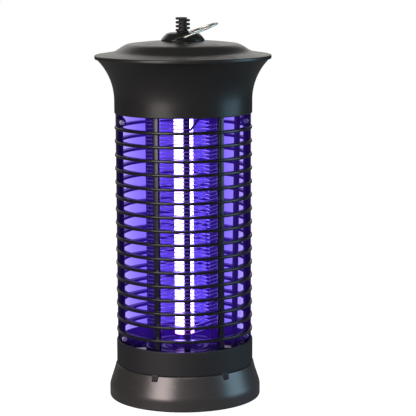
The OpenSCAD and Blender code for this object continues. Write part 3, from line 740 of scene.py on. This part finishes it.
def build_tray():
    foot_r = TRAY_R - 0.4
    lip_r = TRAY_RIM_R - 3.2
    wall_r = TRAY_R - WALL
    corners = [
        (0, 1.5, 0), (foot_r - 5, 1.5, 0.6), (foot_r - 4.2, 0, 0.5), (foot_r, 0, 0.7),
        (TRAY_R, 0.9, 0.7), (TRAY_R, TRAY_BAND_H, 2.2),
        (TRAY_RIM_R + 0.6, TRAY_H - 1.6, 0.8), (TRAY_RIM_R, TRAY_H, 0.5),
        (lip_r, TRAY_H, 0.4), (lip_r, TRAY_H - 2.5, 0.4),
        (wall_r, TRAY_BAND_H - 1, 1.5), (wall_r, 3.5, 1.2), (0, 3.5, 0),
    ]
    tray = turned_piece("tray_shell", corners, "base_plastic", closed=False)
    windows = clip_prism(0.3, lambda z: COLLAR_R - 6, lambda z: COLLAR_R + 9, 0)
    cut(tray, from_bmesh("tray_windows", windows, "base_plastic"))
    stand_for(tray, "tray", "collection_tray")


def clip_ribs(angle):
    """Three grip ribs across one clip's face."""
    ribs = bmesh.new()
    for drop in (1.2, 2.4, 3.6):
        z = COLLAR_Z - drop
        width = CLIP_W - 1.4 - drop * 0.3
        beam(ribs, (width, 0.7, 0.45), (0, -tray_slope(z) - 0.05, z), angle, 0.15)
    return from_bmesh("clip_ribs", ribs, "collar_plastic")


def build_collar():
    inner = COLLAR_R - WALL
    ledge = inner - 2.6
    deck_low = low("lower_deck")
    corners = [
        (ledge, COLLAR_Z - 6, 0.3), (ledge + 2, COLLAR_Z - 6, 0.5), (ledge + 2, COLLAR_Z, 0.1),
        (COLLAR_R, COLLAR_Z, 0.45), (COLLAR_R, COLLAR_TOP, 0.9), (inner, COLLAR_TOP, 0.5),
        (inner, deck_low, 0.2), (ledge, deck_low, 0.2),
    ]
    band = turned_piece("collar_band", corners, "collar_plastic")
    clips = clip_prism(0, lambda z: COLLAR_R - 1.9, lambda z: tray_slope(min(z, COLLAR_Z)) + 0.1, 0.35)
    parts = [band, from_bmesh("collar_clips", clips, "collar_plastic")]
    parts += [clip_ribs(angle) for angle in CLIP_ANGLES]
    stand_for(joined("collar_shell", "collar_plastic", parts), BODY, "lower_collar")


# ---- Top housing, lid and hanger ----


def flare(level):
    """Outer radius of the housing at a height."""
    rise = max(0.0, level - FLARE_Z)
    return SKIRT_R + FLARE_R - math.sqrt(FLARE_R**2 - rise**2)


def build_housing():
    steps = 26
    levels = [FLARE_Z + (RIM_Z - FLARE_Z) * step / steps for step in range(steps + 1)]
    outer = [(SKIRT_R, HOUSING_Z, 0.7), (SKIRT_R, FLARE_Z - 3, 0)]
    outer += [(flare(level), level, 0) for level in levels[:-1]]
    outer.append((flare(RIM_Z), RIM_Z, 0.6))
    inner = [(flare(RIM_Z) - WALL * 1.35, RIM_Z, 0.4)]
    inner += [(flare(level) - WALL * 1.15, level, 0) for level in reversed(levels[:-1])]
    inner.append((SKIRT_R - WALL, HOUSING_Z, 0.4))
    shell = turned_piece("housing_shell", outer + inner, "housing_plastic", segments=FINE_SEGMENTS)
    stand_for(shell, BODY, "top_housing")


def eased(share):
    share = min(1.0, max(0.0, share))
    return share * share * (3 - 2 * share)


def lid_edge():
    """Outer radius of the lid's brim."""
    return flare(RIM_Z) + LID_OVERHANG


def lid_height(radius):
    """Top surface of the lid: a shallow crown that steps down to a brim."""
    crown = LID_TOP - CROWN_SAG_R + math.sqrt(CROWN_SAG_R**2 - radius**2)
    brim = RIM_Z + 1.6 + BRIM_SLOPE * (lid_edge() - radius)
    share = eased((radius - (CROWN_R - SHOULDER_W / 2)) / SHOULDER_W)
    return crown * (1 - share) + brim * share


def build_lid():
    """The lid's shell, with a brim that rolls over and hangs a little below the rim."""
    edge = lid_edge()
    seat_r = BOSS_R + 0.3
    under = BOSS_Z - 2.4
    corners = [(0, BOSS_Z, 0), (seat_r, BOSS_Z, 0.1), (seat_r, lid_height(BOSS_R), 0.3)]
    corners += [(radius, lid_height(radius), 0) for radius in range(int(BOSS_R) + 2, int(edge - 2), 2)]
    corners += [
        (edge - 2.3, lid_height(edge - 2.3), 0.8), (edge - 0.05, RIM_Z + 1.9, 1.5),
        (edge, RIM_Z - 1.5, 1.4), (edge - 2.8, RIM_Z - 1.4, 0.5), (edge - 3.6, RIM_Z + 0.4, 0.3),
        (CROWN_R, RIM_Z + 3.4, 1.0), (BOSS_R, under, 0.5), (0, under, 0),
    ]
    lid = turned_piece("lid_shell", corners, "lid_plastic", closed=False, segments=FINE_SEGMENTS)
    stand_for(lid, BODY, "top_lid")


def build_boss():
    """A stepped dome with two flats for the loop's pins."""
    rise = BOSS_TOP - BOSS_Z
    corners = [
        (0, BOSS_Z, 0), (BOSS_R - 0.2, BOSS_Z, 0.2), (BOSS_R, BOSS_Z + 0.9, 0.5),
        (BOSS_R - 1.6, BOSS_Z + 0.46 * rise, 2.2), (BOSS_R - 4.4, BOSS_Z + 0.86 * rise, 2.0),
        (BOSS_R - 7.5, BOSS_TOP - 0.05, 1.6), (0, BOSS_TOP, 0),
    ]
    work = bmesh.new()
    turned(work, rounded(corners, closed=False, steps=6), False, 128)
    for vert in work.verts:
        if vert.co.z > (BOSS_Z + 0.8) * MM:
            vert.co.y = max(-FLAT_Y * MM, min(FLAT_Y * MM, vert.co.y))
    stand_for(from_bmesh("hanger_dome", work, "boss_plastic"), BODY, "hanger_boss")


def relief_ribs(side, start, offset, count):
    """Half-round ribs on one side of the strain relief."""
    return rings(
        f"relief_ribs_{side}", "relief_rubber", (2.9, RELIEF_R), 2.0, 0.75,
        first=BOSS_TOP + offset, count=count, pitch=RIB_PITCH, start=start, sweep=RIB_SWEEP, steps=28,
    )


def build_strain_relief():
    """A hollow stub with ribs on both sides, half a step apart."""
    top = high("strain_relief")
    core = [
        (CORD_R, BOSS_TOP - 6, 0.1), (3.5, BOSS_TOP - 6, 0.3), (3.6, BOSS_TOP, 0.3),
        (RELIEF_R - 1.0, BOSS_TOP + 0.05, 0.3), (RELIEF_R - 1.4, BOSS_TOP + 1.4, 0.5),
        (3.6, BOSS_TOP + 1.9, 0.5), (3.3, top - 0.5, 0.3), (3.9, top, 0.5), (CORD_R, top, 0.3),
    ]
    parts = [turned_piece("relief_core", core, "relief_rubber", segments=64)]
    parts.append(relief_ribs(0, -98, 3.4, 3))
    parts.append(relief_ribs(1, 82, 1.7, 4))
    relief = joined("relief_body", "relief_rubber", parts)
    for vert in relief.data.vertices:
        vert.co.z = min(vert.co.z, top * MM)
    stand_for(relief, BODY, "strain_relief")


def build_loop():
    """The wire bail: two pins along Y, slanting legs and a round bow."""
    leg_y = FLAT_Y + 0.3 + LOOP_R
    bow_x = LOOP_LEN - LOOP_R - LOOP_BOW_R
    side = [(0, FLAT_Y - 4.2), (0, leg_y), (9, leg_y), (bow_x - 1, LOOP_BOW_R)]
    bow = []
    for step in range(1, BOW_STEPS):
        angle = math.pi * (0.5 - step / BOW_STEPS)
        bow.append((bow_x + LOOP_BOW_R * math.cos(angle), LOOP_BOW_R * math.sin(angle)))
    outline = side + bow + [(x, -y) for x, y in reversed(side)]
    lean = math.radians(LOOP_LEAN)
    pivot = BOSS_Z + PIVOT_RISE
    points = [(x * math.cos(lean), y, pivot + x * math.sin(lean)) for x, y in outline]
    bail = wire_along("hanging_bail", "loop_wire", points, LOOP_R - 0.02, 1.4, 16)
    stand_for(bail, "hanger", "hanging_loop")


# ---- Guard ----


def guard_rings(name):
    """The ring fins of half the cage, and the rims at its foot and head."""
    inner = CAGE_R - RING_DEPTH
    half_turn = {"start": 180.2, "sweep": 179.6}
    fins = rings(
        name + "_fins", "guard_plastic", (inner, CAGE_R), RING_H, 0.55,
        first=FIRST_RING_TOP - RING_H / 2, count=RING_COUNT, pitch=RING_PITCH, **half_turn,
    )
    rims = rings(
        name + "_rims", "guard_plastic", (inner - 0.6, CAGE_R - 2.6), RIM_H, 0.3,
        first=GUARD_LOW + RIM_H / 2, count=2, pitch=GUARD_HIGH - GUARD_LOW - RIM_H, **half_turn,
    )
    return [fins, rims]


def guard_bars(name):
    """The upright bars inside the rings, and the flanges where the halves meet."""
    inner = CAGE_R - RING_DEPTH
    middle = (GUARD_LOW + GUARD_HIGH) / 2
    length = GUARD_HIGH - GUARD_LOW - 1
    window = HOUSING_Z - COLLAR_TOP - 0.8
    window_middle = (HOUSING_Z + COLLAR_TOP) / 2
    work = bmesh.new()
    for angle in BAR_ANGLES:
        beam(work, (BAR_W, BAR_T, length), (0, -inner + 1.1 - BAR_T / 2, middle), angle, 0.55)
    for side in (-1, 1):
        wide = (side * (inner + 2.3), FLANGE_Y, window_middle)
        narrow = (side * (inner + 0.85), FLANGE_Y, middle)
        beam(work, (5.4, FLANGE_T, window), wide, 0, 0.4)
        beam(work, (3.9, FLANGE_T, length), narrow, 0, 0.4)
    return from_bmesh(name + "_bars", work, "guard_plastic")


def screw_boss(side, level):
    """A round boss, open to the front, that takes one of the cage's screws."""
    outline = [
        (1.6, 0, 0.15), (3.4, 0, 0.2), (3.4, 7, 0.45), (2.6, 7, 0.2), (2.45, 6.5, 0.2), (1.6, 6.5, 0.1),
    ]
    work = bmesh.new()
    turned(work, rounded(outline), True, 40)
    turn_about(work, "X", QUARTER, work.verts)
    bmesh.ops.translate(work, vec=Vector((side * SCREW_X, -0.15, level)) * MM, verts=work.verts)
    return from_bmesh("screw_boss", work, "guard_plastic")


def build_guard(name, node, turn):
    """Half the cage: ring fins, two bars, joint flanges, rims and screw bosses."""
    parts = guard_rings(name) + [guard_bars(name)]
    parts += [screw_boss(side, level) for side in (-1, 1) for level in SCREW_LEVELS]
    guard = joined(name, "guard_plastic", parts)
    guard.data.transform(Matrix.Rotation(math.radians(turn), 4, "Z"))
    stand_for(guard, BODY, node)


def build_guard_screws():
    """Pan-head screws with a cross recess, heads to the front."""
    work = bmesh.new()
    outline = [(0, HEAD_TOP, 0)]
    outline += [(radius / 10, HEAD_TOP - 0.14 * (radius / 22) ** 2, 0) for radius in range(1, 19)]
    outline += [(2.2, 0.95, 0.4), (2.25, 0, 0.1), (1.3, -0.05, 0.1), (1.3, -12.4, 0.2), (0, -12.9, 0)]
    turned(work, rounded(outline, closed=False), False, 96)
    for vert in work.verts:
        near, far = sorted((abs(vert.co.x) / MM, abs(vert.co.y) / MM))
        if vert.co.z > (HEAD_TOP - 0.2) * MM and near < RECESS_HALF and far < RECESS_REACH:
            vert.co.z -= RECESS_DEPTH * MM * (1 - far / 1.6)
    screw = from_bmesh("screw_pattern", work, "screw_steel")
    places = [(side * SCREW_X, -7.15, level) for side in (-1, 1) for level in SCREW_LEVELS]
    seed = bpy.data.meshes.new("screw_places")
    seed.from_pydata([Vector(place) * MM for place in places], [], [])
    values = {"Piece": screw, "Turn": (QUARTER, 0.0, 0.0)}
    heads = scatter.make("cage_screws", "screw_steel", values, seed)
    bpy.data.objects.remove(screw)
    stand_for(heads, BODY, "guard_screws")


# ---- Lamp and grid ----


def wire_points(start):
    """A square coil's path in millimetres, two points on each post."""
    points = []
    radius = GRID_R - 0.15
    for index in range(WIRE_TURNS * 4 + 1):
        angle = math.radians(index * 90)
        for side in (-1, 1):
            along = side * (POST_W / 2 - 0.4)
            x = along * math.cos(angle) + radius * math.sin(angle)
            y = along * math.sin(angle) - radius * math.cos(angle)
            points.append((x, y, start + index * 2 * WIRE_PITCH / 4))
    return points


def build_grid():
    for name, node, start in (
        ("live_winding", "live_grid_wire", WIRE_LOW),
        ("return_winding", "return_grid_wire", WIRE_LOW + WIRE_PITCH),
    ):
        stand_for(wire_along(name, "grid_wire", wire_points(start), WIRE_R, 0.9, 10), BODY, node)


def build_grid_plate():
    """The insulating dish under the grid, with turned steps round the lamp."""
    hub = GRID_R + 2.4
    hole = 11.4
    top = PLATE_TOP
    corners = [
        (hole, DECK_TOP, 0.1), (hub - 0.6, DECK_TOP, 0.3), (hub, DECK_TOP + 0.7, 0.4),
        (hub, top - 0.6, 0.5), (hub - 0.9, top, 0.4), (27.5, top, 0.6),
        (26.0, top - 1.1, 0.6), (23.0, top - 1.3, 0.6), (22.0, top - 0.5, 0.4),
        (20.5, top - 0.5, 0.4), (19.3, top - 1.6, 0.6), (16.5, top - 1.8, 0.5),
        (15.2, top - 0.6, 0.5), (hole, top - 0.4, 0.3),
    ]
    stand_for(turned_piece("grid_dish", corners, "gloss_black", segments=128), BODY, "lower_grid_plate")


def build_glass():
    """The lamp's glass, closed at both ends."""
    radius = LAMP_D / 2
    foot = low("lamp_tube")
    head = high("lamp_tube")
    levels = 12
    length = head - foot - 8
    wall = [(radius, foot + 4 + length * step / levels, 0) for step in range(levels + 1)]
    corners = [(0, foot, 0), (radius, foot, 1.5)] + wall + [(radius, head, 1.5), (0, head, 0)]
    bulb = turned_piece("lamp_bulb", corners, "lamp_glass", closed=False, segments=64, steps=6)
    stand_for(bulb, BODY, "lamp_tube")


def lamp_cap(name, level, way):
    """A metal cap with a crimped groove, from its outer face inwards."""
    cap_r = LAMP_D / 2 + 0.35
    glass_r = LAMP_D / 2 + 0.02
    corners = [
        (0, level, 0), (cap_r - 1, level, 0.4), (cap_r, level + way, 0.4),
        (cap_r, level + way * 5.6, 0.2), (cap_r - 0.2, level + way * 6.0, 0.2),
        (cap_r, level + way * 6.4, 0.2), (cap_r, level + way * 8, 0.25),
        (glass_r, level + way * 8, 0.1), (glass_r, level + way * 2, 0), (0, level + way * 2, 0),
    ]
    return turned_piece("cap_" + name, corners, "cap_metal", closed=False, segments=64)


def build_lamp():
    build_glass()
    caps = [lamp_cap("foot", low("lamp_end_caps"), 1), lamp_cap("head", high("lamp_end_caps"), -1)]
    stand_for(joined("lamp_caps", "cap_metal", caps), BODY, "lamp_end_caps")


build_tray()
build_collar()
build_housing()
build_lid()
build_boss()
build_strain_relief()
build_loop()
build_guard("front_cage", "front_guard", 0)
build_guard("rear_cage", "rear_guard", 180)
build_guard_screws()
build_grid()
build_grid_plate()
build_lamp()


# ---- Stage ----


def stage_material(name):
    """An empty material for the stage, and its graph."""
    material = bpy.data.materials.new(name)
    material.use_nodes = True
    material.node_tree.nodes.clear()
    return material, Graph(material.node_tree)


def show(graph, **shaders):
    """Sends shaders to the material's output, each to the input of its name."""
    graph.feed(graph.tree.nodes.new("ShaderNodeOutputMaterial"), shaders)


def add_stage(name, mesh, material):
    mesh.materials.append(material)
    piece = bpy.data.objects.new(name, mesh)
    bpy.context.scene.collection.objects.link(piece)


def build_floor():
    """White paper, bright to look at and dim to the object, low enough to leave the pulled tray in view.

    It is clear from below, so that the underside can be seen.
    """
    level = -(TRAY_TRAVEL + 0.002)
    corners = [(x * PAPER_HALF, y * PAPER_HALF, level) for x, y in ((-1, -1), (1, -1), (1, 1), (-1, 1))]
    mesh = bpy.data.meshes.new("floor")
    mesh.from_pydata(corners, [], [(0, 1, 2, 3)])
    material, graph = stage_material("floor_paper")
    camera_ray = graph.node("ShaderNodeLightPath", out="Is Camera Ray")
    grey = graph.node("ShaderNodeBsdfDiffuse", {"Color": PAPER_GREY})
    lit = graph.node("ShaderNodeEmission", {"Color": WHITE, "Strength": PAPER_GLOW})
    paper = graph.node("ShaderNodeAddShader", {0: grey, 1: lit})
    above = graph.node("ShaderNodeMixShader", {"Fac": camera_ray, 1: grey, 2: paper})
    back = graph.node("ShaderNodeNewGeometry", out="Backfacing")
    clear = graph.node("ShaderNodeBsdfTransparent")
    show(graph, Surface=graph.node("ShaderNodeMixShader", {"Fac": back, 1: above, 2: clear}))
    add_stage("floor", mesh, material)


def haze_material(name, absorbed, glow):
    """Air that takes up and gives off light evenly, per metre, for red, green and blue."""
    material, graph = stage_material(name)
    density = max(absorbed)
    strength = max(glow)
    kept = tuple(1 - share / density for share in absorbed) + (1.0,)
    hue = tuple(share / strength for share in glow) + (1.0,)
    dimming = graph.node("ShaderNodeVolumeAbsorption", {"Color": kept, "Density": density})
    light = graph.node("ShaderNodeEmission", {"Color": hue, "Strength": strength})
    show(graph, Volume=graph.node("ShaderNodeAddShader", {0: dimming, 1: light}))
    return material


def stage_haze(name, radius, low_end, high_end, absorbed, glow):
    """A closed drum of lit haze."""
    work = bmesh.new()
    turned(work, [(0, low_end), (radius, low_end), (radius, high_end), (0, high_end)], False)
    add_stage(name, settled(name, work), haze_material(name, absorbed, glow))


def build_haze():
    """The lamp's violet light in the cage's air, the same from every side, and deeper inside the wires."""
    stage_haze("lamp_haze", CAGE_R - 0.5, COLLAR_TOP + 0.5, HOUSING_Z - 0.3, HAZE_ABSORBED, HAZE_GLOW)
    stage_haze("grid_haze", GRID_R - 2.0, PLATE_TOP + 0.7, HOUSING_Z - 0.6, GRID_ABSORBED, GRID_GLOW)


def area_light(name, place, size, power, colour):
    """A softbox that faces the middle of the object."""
    light = bpy.data.lights.new(name, "AREA")
    light.shape = "RECTANGLE"
    light.size, light.size_y = size
    light.energy = power
    light.color = colour
    lamp = bpy.data.objects.new(name, light)
    lamp.location = place
    lamp.rotation_euler = (LIGHTS_AIM - Vector(place)).to_track_quat("-Z", "Y").to_euler()
    lamp.visible_camera = False
    bpy.context.scene.collection.objects.link(lamp)


def build_lights():
    area_light("key_softbox", (-1.55, -1.7, 0.8), (1.25, 1.4), 40.0, (1.0, 0.92, 0.87))
    area_light("right_strip", (1.8, -0.3, 0.45), (1.1, 1.3), 15.0, (0.45, 0.8, 1.0))
    area_light("front_top", (-0.4, -1.9, 2.0), (2.0, 0.5), 22.0, (1.0, 0.97, 0.95))
    area_light("rear_softbox", (-0.3, 2.2, 1.0), (2.4, 1.1), 9.0, (1.0, 0.96, 0.92))
    world = bpy.data.worlds.new("studio")
    world.use_nodes = True
    bpy.context.scene.world = world
    graph = Graph(world.node_tree)
    sky = world.node_tree.nodes["Background"]
    camera_ray = graph.node("ShaderNodeLightPath", out="Is Camera Ray")
    graph.feed(sky, {"Color": WHITE, "Strength": camera_ray * SKY_SEEN + SKY_LIGHT})


def build_camera():
    """A long lens from the front, a little to the left of the axis and above the lid."""
    heading, pitch, roll = math.radians(5.838), math.radians(8.875), math.radians(-0.233)
    camera = bpy.data.cameras.new("view")
    camera.lens = 144.1
    camera.sensor_width = 36.0
    camera.clip_end = 200.0
    eye = bpy.data.objects.new("view", camera)
    turn = Matrix.Rotation(-heading, 4, "Z")
    tip = Matrix.Rotation(QUARTER - pitch, 4, "X")
    aim = turn @ tip @ Matrix.Rotation(roll, 4, "Z")
    eye.matrix_world = Matrix.Translation(CAMERA_PLACE) @ aim
    bpy.context.scene.collection.objects.link(eye)
    bpy.context.scene.camera = eye


build_floor()
build_haze()
build_lights()
build_camera()
bpy.context.scene.view_settings.view_transform = "Standard"
